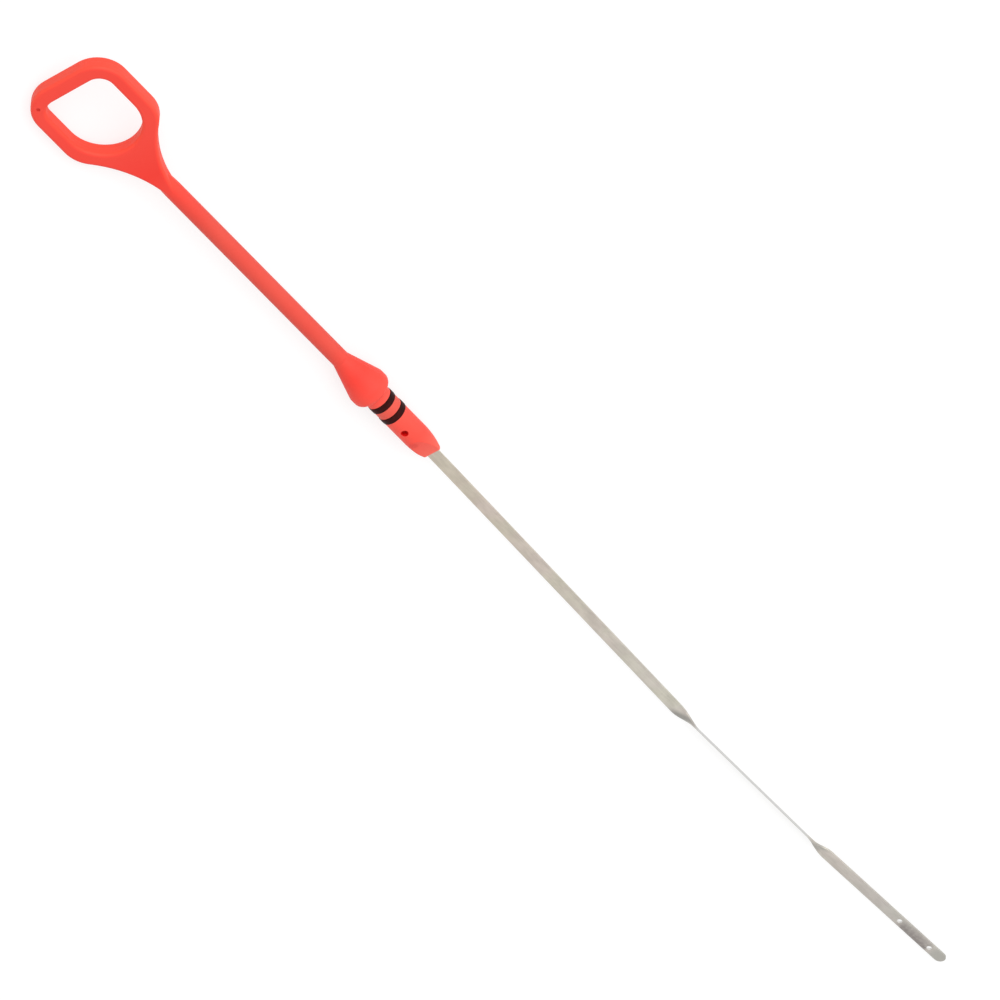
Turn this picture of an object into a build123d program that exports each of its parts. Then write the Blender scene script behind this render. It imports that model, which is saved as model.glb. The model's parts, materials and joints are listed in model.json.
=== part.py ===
from build123d import *
import os
from math import sqrt

# An engine oil dipstick as it comes to rest on a floor: a moulded handle whose plug closes the
# guide tube, two rubber seal rings on the plug, and a thin steel blade that reaches down into the
# oil. The origin is on the plug's axis at the stop's seat, +X runs to the blade's tip, +Z is up.

# Plug and nose
plug_diameter = 10.6
plug_length = 24.8
nose_length = 11.5
nose_end_width = 7.4
nose_end_thickness = 1.8
nose_edge_round = 0.4
locating_hole_diameter = 2.8
locating_hole_station = 18.9

# Seal rings and their grooves
groove_width = 3.0
groove_depth = 2.3
ring_side_clearance = 0.15
ring_stand_out = 0.2
ring_crown = 0.04
first_ring_station = 4.0
ring_pitch = 6.6

# Stop that lands on the mouth of the guide tube
stop_diameter = 16.2
stop_seat_length = 2.0
stop_band_length = 3.7
stop_cone_length = 16.1
stop_edge_round = 2.5

# Shank
shank_diameter = 7.2
shank_length = 98.0
shank_root_length = 14.0
shank_taper_length = 8.0
shank_root_taper = 0.3

# Finger loop and the yoke that carries it
loop_thickness = 7.0
loop_edge_round = 1.5
finger_width = 29.7
finger_length = 33.6
finger_corner = 6.0
rim_width = 5.7
end_bar_width = 6.6
loop_corner = 12.5
yoke_length = 33.3
yoke_end_width = 3.2
yoke_shoulder_radius = 13.4
yoke_sweep_radius = 48.7
gate_mark_diameter = 1.4
gate_mark_depth = 0.4

# Blade: a flat strip, turned on edge between two twists, with two level holes near its tip
blade_width = 5.0
blade_thickness = 0.8
tang_length = 22.0
exit_bend_length = 6.0
root_length = 155.4
first_twist_length = 14.0
neck_length = 75.0
second_twist_length = 11.0
tip_length = 74.4
level_hole_diameter = 2.2
tip_to_low_hole = 9.3
low_to_high_hole = 19.0

# Yaw of each span from the plug's axis, and its roll from the loop's plane, in degrees
root_yaw = -1.06
neck_yaw = 1.15
tip_yaw = 2.95
neck_roll = 58.0
tip_roll = 9.0
sections_per_bend = 9

# Roll about the axis at which the loop's edge, the stop and the blade all touch the floor, in degrees
rest_roll = 23.3

# Places along the axis
plug_radius = plug_diameter / 2
stop_radius = stop_diameter / 2
shank_radius = shank_diameter / 2
nose_end = plug_length + nose_length
tang_start = nose_end - tang_length
band_end = -stop_seat_length
band_start = band_end - stop_band_length
cone_start = band_start - stop_cone_length
yoke_end = cone_start - shank_length
shank_start = yoke_end - shank_root_length
finger_apex = yoke_end - yoke_length
finger_centre = finger_apex - finger_width / 2
finger_end = finger_apex - finger_length
loop_end = finger_end - end_bar_width

# Loop outline: its shoulder arc and the yoke's sweep arc touch on the line through their centres
loop_half_width = finger_width / 2 + rim_width
yoke_half_width = yoke_end_width / 2
centres_apart = yoke_shoulder_radius + yoke_sweep_radius
centres_rise = centres_apart + yoke_half_width - loop_half_width
centres_run = sqrt(centres_apart**2 - centres_rise**2)
shoulder_share = yoke_shoulder_radius / centres_apart
shoulder_start = yoke_end - centres_run
shoulder_end_x = shoulder_start + centres_run * shoulder_share
shoulder_end_y = loop_half_width - yoke_shoulder_radius + centres_rise * shoulder_share

# The moulding's gate mark is at the middle of the rim, halfway round a corner
gate_inset = (loop_corner + finger_corner) * (1 - sqrt(0.5))
gate_x = (loop_end + finger_end + gate_inset) / 2
gate_y = (gate_inset - loop_half_width - finger_width / 2) / 2

# Seats of the seal rings
groove_floor = plug_radius - groove_depth
ring_half_width = groove_width / 2 - ring_side_clearance
ring_crest = plug_radius + ring_stand_out
ring_shoulder = ring_crest - ring_crown
ring_stations = {
    "upper_seal_ring": first_ring_station,
    "lower_seal_ring": first_ring_station + ring_pitch,
}

# The loop's plane, and the plane through the axis across it
loop_plane = Plane.XY.rotated((rest_roll, 0, 0))
side_plane = Plane.XZ.rotated((rest_roll, 0, 0))


def heading(yaw):
    """Direction along the blade where it is turned by yaw in the loop's plane."""
    return loop_plane.x_dir.rotate(Axis((0, 0, 0), loop_plane.z_dir), yaw)


def section_plane(place, yaw, roll):
    """Plane across the blade, with its X along the strip's width and its Z along the strip."""
    along = heading(yaw)
    level = loop_plane.z_dir.cross(along)
    return Plane(place, x_dir=level.rotate(Axis((0, 0, 0), along), roll), z_dir=along)


os.makedirs("parts", exist_ok=True)

with BuildPart(loop_plane) as handle:
    # Loop and yoke: one flat plate with rounded edges
    with BuildSketch(loop_plane):
        with BuildLine():
            end_bar = Line((loop_end, 0), (loop_end, loop_half_width - loop_corner))
            corner = TangentArc(end_bar @ 1, (loop_end + loop_corner, loop_half_width), tangent=(0, 1))
            side = Line(corner @ 1, (shoulder_start, loop_half_width))
            shoulder = TangentArc(side @ 1, (shoulder_end_x, shoulder_end_y), tangent=(1, 0))
            sweep_arc = TangentArc(shoulder @ 1, (yoke_end, yoke_half_width), tangent=shoulder % 1)
            Line(sweep_arc @ 1, (yoke_end, 0))
            mirror(about=Plane.XZ)
        make_face()
    extrude(amount=loop_thickness / 2, both=True)

    # Finger hole: square-ended towards the pull, round towards the shank
    with BuildSketch(loop_plane) as finger_hole:
        with Locations((finger_end, 0)):
            Rectangle(finger_centre - finger_end, finger_width, align=(Align.MIN, Align.CENTER))
        fillet(finger_hole.vertices().group_by(Axis.X)[0], finger_corner)
        with Locations((finger_centre, 0)):
            Circle(finger_width / 2)
    extrude(amount=loop_thickness / 2, both=True, mode=Mode.SUBTRACT)
    fillet(handle.faces().filter_by(loop_plane).edges(), loop_edge_round)

    # Shank, flared stop, plug and nose, all round about the axis
    with BuildSketch(loop_plane) as turned_half:
        with BuildLine():
            body = Polyline(
                (shank_start, 0),
                (shank_start, shank_radius - shank_root_taper),
                (shank_start + shank_taper_length, shank_radius),
                (cone_start, shank_radius),
                (band_start, stop_radius),
                (band_end, stop_radius),
                (0, plug_radius),
                (plug_length, plug_radius),
            )
            ogive = TangentArc(body @ 1, (nose_end, nose_end_width / 2), tangent=(1, 0))
            Polyline(ogive @ 1, (nose_end, 0), body @ 0)
        make_face()
        fillet(turned_half.vertices().group_by(Axis.Y)[-1], stop_edge_round)
    revolve(axis=Axis.X)

    # Two flats bring the nose down to the blade, with rounded edges
    with BuildSketch(side_plane):
        with BuildLine():
            Polyline(
                (plug_length, plug_radius),
                (nose_end, nose_end_thickness / 2),
                (nose_end, plug_radius),
                close=True,
            )
        make_face()
        mirror(about=Plane.XZ)
    extrude(amount=plug_radius, both=True, mode=Mode.SUBTRACT)
    nose_faces = handle.faces().filter_by(GeomType.PLANE).sort_by(Axis.X)[-3:]
    fillet(nose_faces.edges(), nose_edge_round)

    # Grooves for the seal rings
    for station in ring_stations.values():
        with BuildSketch(loop_plane):
            with Locations((station, plug_radius)):
                Rectangle(groove_width, 2 * groove_depth)
        revolve(axis=Axis.X, mode=Mode.SUBTRACT)

    # Pocket that the moulding leaves around the blade's tang, and the hole of the pin that located it
    with BuildSketch(section_plane((tang_start, 0, 0), 0, 0)):
        Rectangle(blade_width, blade_thickness)
    extrude(amount=tang_length, mode=Mode.SUBTRACT)
    with Locations((locating_hole_station, 0, plug_radius)):
        Hole(locating_hole_diameter / 2)

    # Gate mark
    with Locations((gate_x, gate_y, loop_thickness / 2)):
        Hole(gate_mark_diameter / 2, gate_mark_depth)
handle.part.label = "handle"
export_step(handle.part, "parts/handle.step")

for ring_name, station in ring_stations.items():
    with BuildPart() as seal_ring:
        with BuildSketch(loop_plane):
            with BuildLine():
                base = Polyline(
                    (station - ring_half_width, ring_shoulder),
                    (station - ring_half_width, groove_floor),
                    (station + ring_half_width, groove_floor),
                    (station + ring_half_width, ring_shoulder),
                )
                ThreePointArc(base @ 1, (station, ring_crest), base @ 0)
            make_face()
        revolve(axis=Axis.X)
    seal_ring.part.label = ring_name
    export_step(seal_ring.part, f"parts/{ring_name}.step")

with BuildPart(loop_plane) as blade:
    # Tang inside the nose
    with BuildSketch(section_plane((tang_start, 0, 0), 0, 0)):
        Rectangle(blade_width, blade_thickness)
    extrude(amount=tang_length)
    with Locations((locating_hole_station, 0, blade_thickness / 2)):
        Hole(locating_hole_diameter / 2)

    # Stretches from the nose to the tip span: length, then the yaw and roll at the far end
    place = Vector(nose_end, 0, 0)
    yaw = 0
    roll = 0
    for length, end_yaw, end_roll in [
        (exit_bend_length, root_yaw, 0),
        (root_length, root_yaw, 0),
        (first_twist_length, neck_yaw, neck_roll),
        (neck_length, neck_yaw, neck_roll),
        (second_twist_length, tip_yaw, tip_roll),
    ]:
        if (end_yaw, end_roll) == (yaw, roll):
            with BuildSketch(section_plane(place, yaw, roll)):
                Rectangle(blade_width, blade_thickness)
            extrude(amount=length)
            place += heading(yaw) * length
        else:
            for section in range(sections_per_bend + 1):
                share = section / sections_per_bend
                eased = share * share * (3 - 2 * share)
                turned_yaw = yaw + (end_yaw - yaw) * eased
                if section:
                    place += heading(turned_yaw) * (length / sections_per_bend)
                with BuildSketch(section_plane(place, turned_yaw, roll + (end_roll - roll) * eased)):
                    Rectangle(blade_width, blade_thickness)
            loft()
            yaw = end_yaw
            roll = end_roll

    # Tip span with its round end and the two level holes
    across = section_plane(place, yaw, roll)
    with BuildSketch(Plane(place, x_dir=across.z_dir, z_dir=across.z_dir.cross(across.x_dir))):
        Rectangle(tip_length - blade_width / 2, blade_width, align=(Align.MIN, Align.CENTER))
        with Locations((tip_length - blade_width / 2, 0)):
            Circle(blade_width / 2)
        low_hole = tip_length - tip_to_low_hole
        with Locations((low_hole, 0), (low_hole - low_to_high_hole, 0)):
            Circle(level_hole_diameter / 2, mode=Mode.SUBTRACT)
    extrude(amount=blade_thickness / 2, both=True)
blade.part.label = "blade"
export_step(blade.part, "parts/blade.step")
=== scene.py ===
import json
from math import cos, radians, sin

import bpy
from mathutils import Matrix, Vector


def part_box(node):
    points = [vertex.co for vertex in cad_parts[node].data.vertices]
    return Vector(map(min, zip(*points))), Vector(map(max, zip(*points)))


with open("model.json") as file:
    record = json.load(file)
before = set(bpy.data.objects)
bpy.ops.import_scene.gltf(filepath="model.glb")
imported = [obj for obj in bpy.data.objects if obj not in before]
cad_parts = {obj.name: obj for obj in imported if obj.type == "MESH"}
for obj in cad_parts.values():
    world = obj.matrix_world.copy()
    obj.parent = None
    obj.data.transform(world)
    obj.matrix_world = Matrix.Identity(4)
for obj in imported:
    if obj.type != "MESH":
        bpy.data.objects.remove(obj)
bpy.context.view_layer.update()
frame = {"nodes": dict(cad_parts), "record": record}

MM = 0.001

# The loop's plane is rolled about the plug's axis, as the dipstick lies at rest
REST_ROLL = radians(23.3)
LOOP_NORMAL = (0.0, -sin(REST_ROLL), cos(REST_ROLL))

# Places along the moulding, from the loop's end to the nose's end
LOOP_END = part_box("handle")[0].x
FINGER_APEX = -153.1 * MM
YOKE_END = -119.8 * MM
CONE_START = -21.8 * MM
BAND_START = -5.7 * MM
FIRST_RING = (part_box("upper_seal_ring")[0].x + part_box("upper_seal_ring")[1].x) / 2
SECOND_RING = (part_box("lower_seal_ring")[0].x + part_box("lower_seal_ring")[1].x) / 2
PLUG_END = frame["record"]["mounts"][0]["dims"]["length_mm"] * MM
NOSE_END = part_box("handle")[1].x
TONE_RUN = 8.0 * MM

# How pale the moulding is painted at places along it, from deep red at 0 to pale lit red at 1: painted
# light, paler where the moulding is more brightly lit
PALENESS = [
    (LOOP_END, 0.19),
    (FINGER_APEX, 0.19),
    ((FINGER_APEX + YOKE_END) / 2, 0.0),
    (YOKE_END + 2 * TONE_RUN, 0.34),
    (CONE_START - TONE_RUN, 0.34),
    (CONE_START + TONE_RUN, 0.10),
    (BAND_START, 0.30),
    (FIRST_RING, 0.65),
    (PLUG_END, 0.37),
    (NOSE_END, 1.0),
]

# Marks on the moulding, in the loop's plane
LOCATING_HOLE = Vector((18.9 * MM, 0.0, 0.0))
LOCATING_RADIUS = 1.4 * MM
GATE_MARK = Vector((LOOP_END + 6.01 * MM, -14.99 * MM, 0.0))
GATE_RADIUS = 0.7 * MM
DARK_RIM = 0.15 * MM
NOSE_SMEAR = Vector((26.4 * MM, -1.3 * MM, 4.6 * MM))
NOSE_SMEAR_RADIUS = 1.6 * MM

# Places along the blade, counted back from its tip
TIP_YAW = radians(2.95)
TIP_ROLL = radians(9.0)
NECK_ROLL = radians(58.0)
NECK_EDGE = (0.0, cos(NECK_ROLL + REST_ROLL), sin(NECK_ROLL + REST_ROLL))
BLADE_HALF_WIDTH = 2.5 * MM
LEVEL_ZONE = 19.0 * MM
LEVEL_HOLE_RADIUS = 1.1 * MM
HIGH_HOLE_TO_TIP = 28.3 * MM
HIGH_HOLE_SIDE = 1.4 * MM
NECK_TO_HIGH_HOLE = 57.0 * MM
NECK_LENGTH = 75.0 * MM
PATCH_TO_NECK = 10.5 * MM
PATCH_SIDE = -2.9 * MM
PATCH_SLANT = 1.75
TIP_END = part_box("blade")[1].x
HIGH_HOLE = Vector((TIP_END - HIGH_HOLE_TO_TIP * cos(TIP_YAW), HIGH_HOLE_SIDE, 0.0))
NECK_END = HIGH_HOLE.x - NECK_TO_HIGH_HOLE
NECK_START = NECK_END - NECK_LENGTH
TWIST_PATCH = Vector((NECK_START - PATCH_TO_NECK, PATCH_SIDE, 0.0))

# Camera: from the loop's end and above, turned so that the blade runs down to the right
VIEW_TIP = radians(31.0)
VIEW_SIDE = radians(29.8)
VIEW_TURN = radians(45.33)
VIEW_DISTANCE = 4.0
AIM_RIGHT = 47.41 * MM
AIM_DOWN = 40.19 * MM
SENSOR = 36.0
LENS = 379.0
CLIP_END = 100.0

# Floor: it touches the stop's rim, the blade and the loop's lower edge
FLOOR_TOUCH = Vector((0.0, 0.0, -8.05 * MM))
FLOOR_RISE = 0.01722
FLOOR_HALF = 12.0
FLOOR_GREY = (0.30, 0.30, 0.30, 1)

# Light: what floor and world give the object, and how bright the camera sees them
WHITE = (1, 1, 1, 1)
FLOOR_GLOW = 0.42
FLOOR_SEEN = 0.72
WORLD_GLOW = 0.76
WORLD_SEEN = 1.0
KEY_STRENGTH = 1.4
EDGE_STRENGTH = 0.45
LAMP_ANGLE = radians(60.0)

# Rays that the edge rounding of a material takes
BEVEL_SAMPLES = 6


# Node helpers

def start_material(name):
    """A new material's tree and its shader."""
    material = bpy.data.materials.new(name)
    material.use_nodes = True
    tree = material.node_tree
    tree.nodes.clear()
    shader = tree.nodes.new("ShaderNodeBsdfPrincipled")
    output = tree.nodes.new("ShaderNodeOutputMaterial")
    tree.links.new(shader.outputs["BSDF"], output.inputs["Surface"])
    return material, tree, shader


def feed(tree, socket, value):
    """Links a socket into another, or sets a plain value."""
    if isinstance(value, bpy.types.NodeSocket):
        tree.links.new(value, socket)
    else:
        socket.default_value = value


def add(tree, kind, inputs=None, **settings):
    """A new node with its settings and inputs."""
    node = tree.nodes.new(kind)
    for name, value in settings.items():
        setattr(node, name, value)
    for name, value in (inputs or {}).items():
        feed(tree, node.inputs[name], value)
    return node


def sums(tree, operation, first, second=0.0):
    """Result of one arithmetic step."""
    return add(tree, "ShaderNodeMath", {0: first, 1: second}, operation=operation).outputs[0]


def times(tree, first, *others):
    """Product of several values."""
    for other in others:
        first = sums(tree, "MULTIPLY", first, other)
    return first


def dot(tree, first, second):
    """How far two directions agree, from -1 to 1."""
    node = add(tree, "ShaderNodeVectorMath", {0: first, 1: second}, operation="DOT_PRODUCT")
    return node.outputs["Value"]


def span(tree, value, low, high, to_low=0.0, to_high=1.0, smooth=True):
    """Value from low to high taken to the range to_low to to_high."""
    node = add(
        tree,
        "ShaderNodeMapRange",
        {"Value": value, "From Min": low, "From Max": high, "To Min": to_low, "To Max": to_high},
        interpolation_type="SMOOTHSTEP" if smooth else "LINEAR",
    )
    return node.outputs["Result"]


def profile(tree, value, stops):
    """Number that runs straight from stop to stop of (place, number) along a value."""
    first = stops[0][0]
    last = stops[-1][0]
    node = add(tree, "ShaderNodeValToRGB", {"Fac": span(tree, value, first, last, smooth=False)})
    elements = node.color_ramp.elements
    while len(elements) < len(stops):
        elements.new(1.0)
    for element, (place, number) in zip(elements, stops):
        element.position = (place - first) / (last - first)
        element.color = (number, number, number, 1.0)
    return node.outputs["Color"]


def layer(tree, under, over, mark, strength=1.0):
    """Colour under, with the colour over laid on it where the mark is 1."""
    share = mark if strength == 1.0 else times(tree, mark, strength)
    return add(tree, "ShaderNodeMix", {0: share, 6: under, 7: over}, data_type="RGBA").outputs[2]


def shaded(tree, colour, red, green, blue):
    """Colour with each of its three parts multiplied by a value."""
    shade = add(tree, "ShaderNodeCombineColor", {0: red, 1: green, 2: blue}).outputs[0]
    inputs = {0: 1.0, 6: colour, 7: shade}
    return add(tree, "ShaderNodeMix", inputs, data_type="RGBA", blend_type="MULTIPLY").outputs[2]


def noise(tree, place, per_metre, detail=2.0, rough=0.5):
    """Cloudy pattern from 0 to 1."""
    inputs = {"Vector": place, "Scale": per_metre, "Detail": detail, "Roughness": rough}
    return add(tree, "ShaderNodeTexNoise", inputs).outputs["Fac"]


def placed(tree, location=(0.0, 0.0, 0.0), rotation=(0.0, 0.0, 0.0), scale=(1.0, 1.0, 1.0), place=None):
    """Coordinates on the object, moved, turned and stretched."""
    if place is None:
        place = add(tree, "ShaderNodeTexCoord").outputs["Object"]
    inputs = {"Vector": place, "Location": location, "Rotation": rotation, "Scale": scale}
    return add(tree, "ShaderNodeMapping", inputs).outputs["Vector"]


def apart(tree, place):
    """The three numbers of a place."""
    return add(tree, "ShaderNodeSeparateXYZ", {0: place}).outputs


def round_mark(tree, place, centre, radius, soft, flat=True):
    """1 inside a round mark and 0 outside; a flat mark runs through the whole thickness."""
    scale = (1.0, 1.0, 0.0) if flat else (1.0, 1.0, 1.0)
    moved = placed(tree, location=-centre, scale=scale, place=place)
    length = add(tree, "ShaderNodeVectorMath", {0: moved}, operation="LENGTH").outputs["Value"]
    return span(tree, length, radius - soft, radius + soft, to_low=1.0, to_high=0.0)


def rounded_normal(tree, radius):
    """Surface normal with the solid's edges rounded off."""
    return add(tree, "ShaderNodeBevel", {"Radius": radius}, samples=BEVEL_SAMPLES).outputs["Normal"]


def bump(tree, height, distance, strength, normal):
    """Surface normal pushed by a height pattern."""
    inputs = {"Height": height, "Distance": distance, "Strength": strength, "Normal": normal}
    return add(tree, "ShaderNodeBump", inputs).outputs["Normal"]


def seen(tree):
    """1 for what the camera sees, also in gloss or through glass, and 0 for the light on the object."""
    rays = add(tree, "ShaderNodeLightPath").outputs
    direct = sums(tree, "MAXIMUM", rays["Is Camera Ray"], rays["Is Glossy Ray"])
    return sums(tree, "MAXIMUM", direct, rays["Is Transmission Ray"])


# Materials

def moulded_red():
    """Satin red plastic: clouded colour, painted light paler along it and on its side walls and edges,
    painted shade on the shank and between the rings, parting line, fine grain, painted shade in the
    locating hole and a darker gate mark.
    """
    deep_red = (0.86, 0.036, 0.021, 1)
    pale_lit_red = (0.94, 0.122, 0.083, 1)
    lit_wall_red = (0.96, 0.078, 0.036, 1)
    edge_highlight_red = (0.98, 0.13, 0.09, 1)
    parting_red = (0.96, 0.11, 0.08, 1)
    smear_red = (0.62, 0.022, 0.015, 1)
    hole_shade_red = (0.78, 0.004, 0.003, 1)
    gate_red = (0.66, 0.026, 0.017, 1)

    material, tree, shader = start_material("moulded_red_plastic")
    place = placed(tree, rotation=(-REST_ROLL, 0.0, 0.0))
    along, _, height = apart(tree, place)
    true_normal = add(tree, "ShaderNodeNewGeometry").outputs["Normal"]
    clouds = noise(tree, place, per_metre=38.0, detail=3.0, rough=0.55)
    waves = noise(tree, place, per_metre=110.0, detail=1.0)
    grain = noise(tree, place, per_metre=2600.0, rough=0.6)

    # Paleness along the moulding as painted light, with painted shade that darkens the red on the shank
    # and on the land between the rings
    colour = layer(tree, deep_red, pale_lit_red, profile(tree, along, PALENESS))
    shade_start = span(tree, along, YOKE_END - 2 * TONE_RUN, YOKE_END + 2 * TONE_RUN)
    shade_end = span(tree, along, CONE_START + TONE_RUN, CONE_START - TONE_RUN)
    from_land = sums(tree, "ABSOLUTE", sums(tree, "SUBTRACT", along, (FIRST_RING + SECOND_RING) / 2))
    land = span(tree, from_land, 2.2 * MM, 1.6 * MM)
    painted_shade = sums(tree, "MAXIMUM", times(tree, shade_start, shade_end), land)
    cloudy = span(tree, clouds, 0.3, 0.7, to_low=0.94, to_high=1.06)
    shade_factor = span(tree, painted_shade, 0.0, 1.0, to_low=1.0, to_high=0.83, smooth=False)
    colour = shaded(tree, colour, shade_factor, cloudy, cloudy)

    # Painted light on the loop: its side walls painted brighter; a painted highlight on the edges; and the
    # parting line
    lit_walls = span(tree, sums(tree, "ABSOLUTE", dot(tree, true_normal, LOOP_NORMAL)), 0.98, 0.72)
    on_loop = span(tree, along, YOKE_END, YOKE_END - 14.0 * MM)
    colour = layer(tree, colour, lit_wall_red, times(tree, lit_walls, on_loop), strength=0.5)
    # Painted highlight: the rounded edges painted paler
    flatness = dot(tree, rounded_normal(tree, 0.9 * MM), true_normal)
    edge_highlight = span(tree, sums(tree, "ADD", flatness, times(tree, clouds, 0.04)), 0.99, 0.88)
    colour = layer(tree, colour, edge_highlight_red, edge_highlight, strength=0.45)
    parting = span(tree, sums(tree, "ABSOLUTE", height), 0.05 * MM, 0.16 * MM, to_low=1.0, to_high=0.0)
    colour = layer(tree, colour, parting_red, parting, strength=0.25)

    # Smear on the nose, painted shade in the locating hole, and the gate mark painted darker
    smear = round_mark(tree, place, NOSE_SMEAR, NOSE_SMEAR_RADIUS, 0.9 * MM, flat=False)
    colour = layer(tree, colour, smear_red, smear, strength=0.45)
    hole_shade = round_mark(tree, place, LOCATING_HOLE, LOCATING_RADIUS + DARK_RIM, DARK_RIM)
    colour = layer(tree, colour, hole_shade_red, hole_shade)
    gate = round_mark(tree, place, GATE_MARK, GATE_RADIUS + DARK_RIM, 2.0 * DARK_RIM)
    colour = layer(tree, colour, gate_red, gate, strength=0.8)
    feed(tree, shader.inputs["Base Color"], colour)

    feed(tree, shader.inputs["Roughness"], span(tree, grain, 0.25, 0.75, to_low=0.50, to_high=0.62))
    shader.inputs["Specular IOR Level"].default_value = 0.35
    normal = bump(tree, waves, distance=0.25 * MM, strength=0.25, normal=rounded_normal(tree, 0.3 * MM))
    normal = bump(tree, parting, distance=0.06 * MM, strength=0.6, normal=normal)
    normal = bump(tree, grain, distance=0.03 * MM, strength=0.35, normal=normal)
    feed(tree, shader.inputs["Normal"], normal)
    return material


def seal_rubber():
    """Dark rubber: brown-black, a little dusty, with a soft sheen."""
    black_rubber = (0.020, 0.0020, 0.0016, 1)
    dusty_rubber = (0.046, 0.0060, 0.0050, 1)

    material, tree, shader = start_material("seal_rubber")
    place = placed(tree)
    clouds = noise(tree, place, per_metre=420.0, detail=3.0, rough=0.6)
    grain = noise(tree, place, per_metre=5200.0, rough=0.6)
    colour = layer(tree, black_rubber, dusty_rubber, span(tree, clouds, 0.3, 0.75))
    feed(tree, shader.inputs["Base Color"], colour)
    feed(tree, shader.inputs["Roughness"], span(tree, clouds, 0.25, 0.75, to_low=0.42, to_high=0.60))
    shader.inputs["Specular IOR Level"].default_value = 0.07
    normal = bump(tree, grain, distance=0.02 * MM, strength=0.4, normal=rounded_normal(tree, 0.3 * MM))
    feed(tree, shader.inputs["Normal"], normal)
    return material


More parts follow.
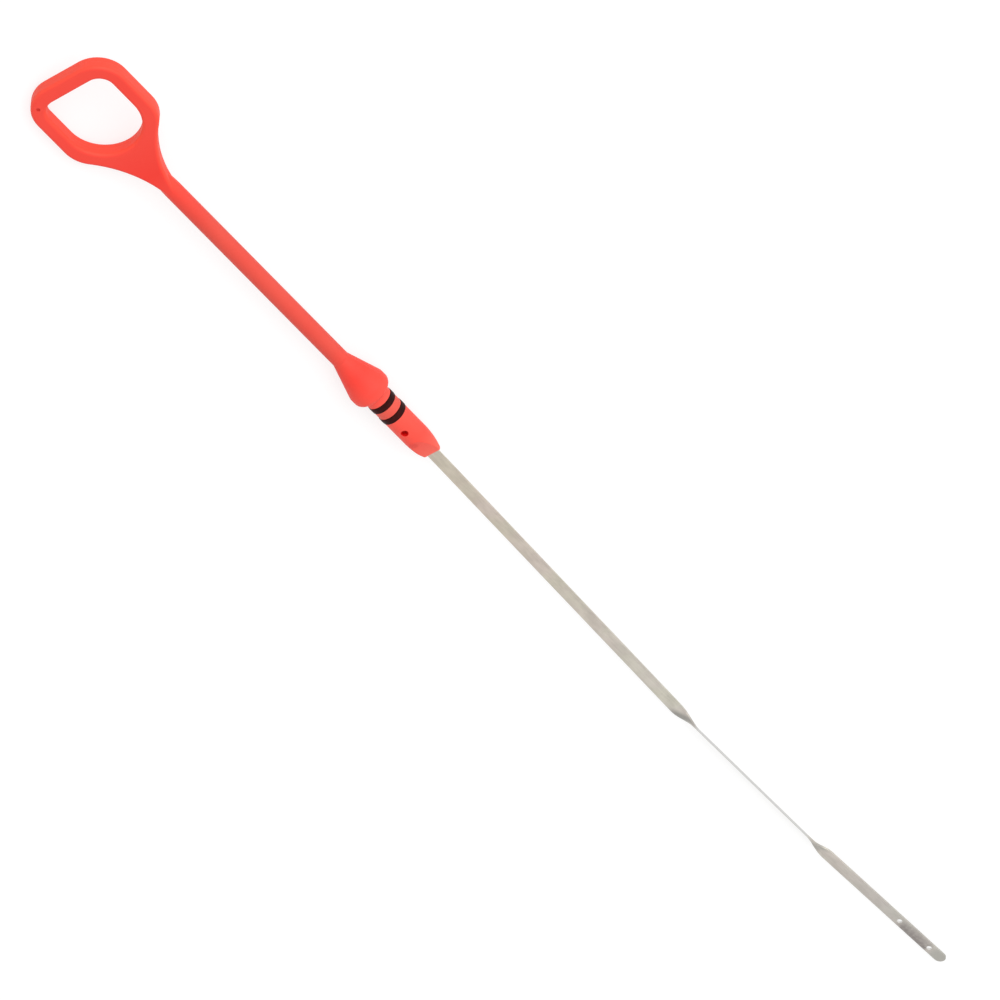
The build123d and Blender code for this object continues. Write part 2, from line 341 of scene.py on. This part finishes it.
def rolled_steel():
    """Dull rolled strip: lengthwise lines, warm and green blotches, an oil stain in the level zone,
    painted light on the neck's edges and the holes' walls, and a painted dark reflection on the twists.
    """
    warm_steel = (0.590, 0.515, 0.435, 1)
    cool_steel = (0.580, 0.550, 0.490, 1)
    green_tint = (0.560, 0.545, 0.430, 1)
    brown_tint = (0.575, 0.490, 0.455, 1)
    lit_edge_steel = (0.61, 0.61, 0.605, 1)
    dark_reflection_grey = (0.19, 0.187, 0.18, 1)
    oiled_steel = (0.42, 0.405, 0.385, 1)
    stained_steel = (0.215, 0.190, 0.185, 1)
    end_steel = (0.40, 0.395, 0.365, 1)
    lit_hole_steel = (0.88, 0.88, 0.87, 1)

    material, tree, shader = start_material("rolled_steel_strip")
    place = placed(tree, rotation=(-REST_ROLL, 0.0, 0.0))
    along = apart(tree, place)[0]
    true_normal = add(tree, "ShaderNodeNewGeometry").outputs["Normal"]
    drawn_out = placed(tree, scale=(40.0, 2600.0, 2600.0), place=place)
    lines = noise(tree, drawn_out, per_metre=1.0, detail=4.0, rough=0.65)
    lengthened = placed(tree, scale=(1.0, 2.0, 2.0), place=place)
    blotches = noise(tree, lengthened, per_metre=120.0, detail=3.0, rough=0.6)
    elsewhere = placed(tree, location=(3.7, 1.3, 0.0), place=place)
    tints = noise(tree, elsewhere, per_metre=95.0)
    specks = noise(tree, place, per_metre=900.0, detail=3.0, rough=0.7)
    mottle = noise(tree, place, per_metre=650.0, detail=3.0, rough=0.65)

    # Warm near the nose and cooler further on, with tinted blotches, rolling lines and specks
    colour = layer(tree, warm_steel, cool_steel, span(tree, along, NOSE_END, NECK_START))
    colour = layer(tree, colour, green_tint, span(tree, tints, 0.45, 0.68, to_low=0.0, to_high=0.35))
    colour = layer(tree, colour, brown_tint, span(tree, tints, 0.55, 0.32, to_low=0.0, to_high=0.40))
    shade = times(
        tree,
        span(tree, blotches, 0.3, 0.7, to_low=0.90, to_high=1.05),
        span(tree, lines, 0.3, 0.7, to_low=0.93, to_high=1.05),
        span(tree, specks, 0.60, 0.78, to_low=1.0, to_high=0.90),
    )
    colour = shaded(tree, colour, shade, shade, shade)

    # Neck edges painted bright: painted light on the sheared edges of the neck
    neck_start = span(tree, along, NECK_START - 4.5 * MM, NECK_START)
    neck_end = span(tree, along, NECK_END, NECK_END - 6.0 * MM)
    lit_edges = span(tree, sums(tree, "ABSOLUTE", dot(tree, true_normal, NECK_EDGE)), 0.5, 0.85)
    colour = layer(tree, colour, lit_edge_steel, times(tree, neck_start, neck_end, lit_edges), strength=0.9)

    # Painted dark reflection where the strip turns: a slanted grey patch on the first twist, a band on the
    # second
    patch = apart(tree, placed(tree, location=-TWIST_PATCH, place=place))
    slanted = sums(tree, "SUBTRACT", patch[0], times(tree, patch[1], PATCH_SLANT))
    patch_start = span(tree, slanted, -3.0 * MM, 3.6 * MM)
    patch_end = span(tree, patch[0], 11.0 * MM, 3.8 * MM)
    colour = layer(tree, colour, dark_reflection_grey, times(tree, patch_start, patch_end), strength=0.68)
    facing = dot(tree, true_normal, LOOP_NORMAL)
    turned = times(tree, span(tree, facing, 0.995, 0.84), span(tree, facing, 0.40, 0.66))
    band_start = span(tree, along, NECK_END - 4.0 * MM, NECK_END + 5.0 * MM)
    band_end = span(tree, along, NECK_END + 13.0 * MM, NECK_END + 5.0 * MM)
    colour = layer(tree, colour, dark_reflection_grey, times(tree, band_start, band_end, turned), strength=0.43)

    # Oily end: darker past the neck, stained between the level holes and dull beyond them
    oiled = span(tree, along, NECK_END, NECK_END + 45.0 * MM)
    colour = layer(tree, colour, oiled_steel, oiled, strength=0.42)
    tip = placed(tree, location=-HIGH_HOLE, place=place)
    tip = placed(tree, rotation=(0.0, 0.0, -TIP_YAW), place=tip)
    tip = placed(tree, rotation=(-TIP_ROLL, 0.0, 0.0), place=tip)
    tip_along, tip_across, _ = apart(tree, tip)
    ragged = times(tree, sums(tree, "SUBTRACT", specks, 0.5), 3.0 * MM)
    station = sums(tree, "ADD", tip_along, ragged)
    across = sums(tree, "ADD", tip_across, ragged)
    stain = times(
        tree,
        span(tree, station, -1.0 * MM, 4.0 * MM),
        span(tree, station, LEVEL_ZONE + 1.0 * MM, LEVEL_ZONE - 1.5 * MM),
        span(tree, across, 1.6 * BLADE_HALF_WIDTH, -0.6 * BLADE_HALF_WIDTH),
        span(tree, mottle, 0.30, 0.62, to_low=0.62, to_high=1.0),
    )
    colour = layer(tree, colour, stained_steel, stain, strength=0.75)
    beyond = span(tree, station, LEVEL_ZONE + 1.0 * MM, LEVEL_ZONE + 4.0 * MM)
    colour = layer(tree, colour, end_steel, beyond, strength=0.6)

    # Painted light: the sheared walls of the level holes painted bright
    for distance in (0.0, LEVEL_ZONE):
        lit_hole_wall = round_mark(tree, tip, Vector((distance, 0.0, 0.0)), LEVEL_HOLE_RADIUS, 0.06 * MM)
        colour = layer(tree, colour, lit_hole_steel, lit_hole_wall)
    feed(tree, shader.inputs["Base Color"], colour)

    shader.inputs["Metallic"].default_value = 1.0
    rough = span(tree, blotches, 0.3, 0.7, to_low=0.46, to_high=0.36)
    feed(tree, shader.inputs["Roughness"], sums(tree, "ADD", rough, times(tree, stain, 0.1)))
    normal = bump(tree, lines, distance=0.02 * MM, strength=0.35, normal=rounded_normal(tree, 0.15 * MM))
    normal = bump(tree, blotches, distance=0.15 * MM, strength=0.2, normal=normal)
    feed(tree, shader.inputs["Normal"], normal)
    return material


def pale_floor():
    """Matt pale floor, which the camera sees as white with the object's shadow on it."""
    material, tree, shader = start_material("pale_floor")
    shader.inputs["Base Color"].default_value = FLOOR_GREY
    shader.inputs["Roughness"].default_value = 1.0
    shader.inputs["Specular IOR Level"].default_value = 0.0
    shader.inputs["Emission Color"].default_value = WHITE
    glow = span(tree, seen(tree), 0.0, 1.0, FLOOR_GLOW, FLOOR_SEEN, smooth=False)
    feed(tree, shader.inputs["Emission Strength"], glow)
    return material


rubber = seal_rubber()
for node_name, material in {
    "handle": moulded_red(),
    "upper_seal_ring": rubber,
    "lower_seal_ring": rubber,
    "blade": rolled_steel(),
}.items():
    frame["nodes"][node_name].data.materials[0] = material


# Floor

floor_mesh = bpy.data.meshes.new("floor")
corners = [(-1, -1), (1, -1), (1, 1), (-1, 1)]
floor_mesh.from_pydata(
    [FLOOR_TOUCH + FLOOR_HALF * Vector((x, y, FLOOR_RISE * x)) for x, y in corners],
    [],
    [(0, 1, 2, 3)],
)
floor_mesh.materials.append(pale_floor())
floor = bpy.data.objects.new("floor", floor_mesh)
bpy.context.scene.collection.objects.link(floor)


# Camera

side_turn = Matrix.Rotation(REST_ROLL - VIEW_SIDE, 3, "X")
tip_turn = Matrix.Rotation(-VIEW_TIP, 3, "Y")
picture_turn = Matrix.Rotation(VIEW_TURN, 3, "Z")
right, up, back = (side_turn @ tip_turn @ picture_turn).transposed()
stand = back * VIEW_DISTANCE
aim = right * AIM_RIGHT - up * AIM_DOWN
depth = (stand - aim).normalized()
level = up.cross(depth).normalized()
camera_data = bpy.data.cameras.new("camera")
camera_data.sensor_width = SENSOR
camera_data.lens = LENS
camera_data.clip_end = CLIP_END
camera = bpy.data.objects.new("camera", camera_data)
facing_turn = Matrix((level, depth.cross(level), depth)).transposed()
camera.matrix_world = Matrix.Translation(stand) @ facing_turn.to_4x4()
bpy.context.scene.collection.objects.link(camera)
bpy.context.scene.camera = camera


# Light

def lamp(name, direction, strength):
    """A broad soft lamp that shines from one direction."""
    data = bpy.data.lights.new(name, "SUN")
    data.energy = strength
    data.angle = LAMP_ANGLE
    holder = bpy.data.objects.new(name, data)
    holder.rotation_mode = "QUATERNION"
    holder.rotation_quaternion = direction.to_track_quat("Z", "Y")
    bpy.context.scene.collection.objects.link(holder)


lamp("key", back + 0.2 * right + 0.2 * up, KEY_STRENGTH)
lamp("edge", right + 0.3 * back + 0.2 * up, EDGE_STRENGTH)

world = bpy.data.worlds.new("studio")
bpy.context.scene.world = world
world.use_nodes = True
world_tree = world.node_tree
world_tree.nodes.clear()
brightness = span(world_tree, seen(world_tree), 0.0, 1.0, WORLD_GLOW, WORLD_SEEN, smooth=False)
sky = add(world_tree, "ShaderNodeBackground", {"Strength": brightness, "Color": WHITE})
add(world_tree, "ShaderNodeOutputWorld", {"Surface": sky.outputs["Background"]})

bpy.context.scene.view_settings.view_transform = "Standard"
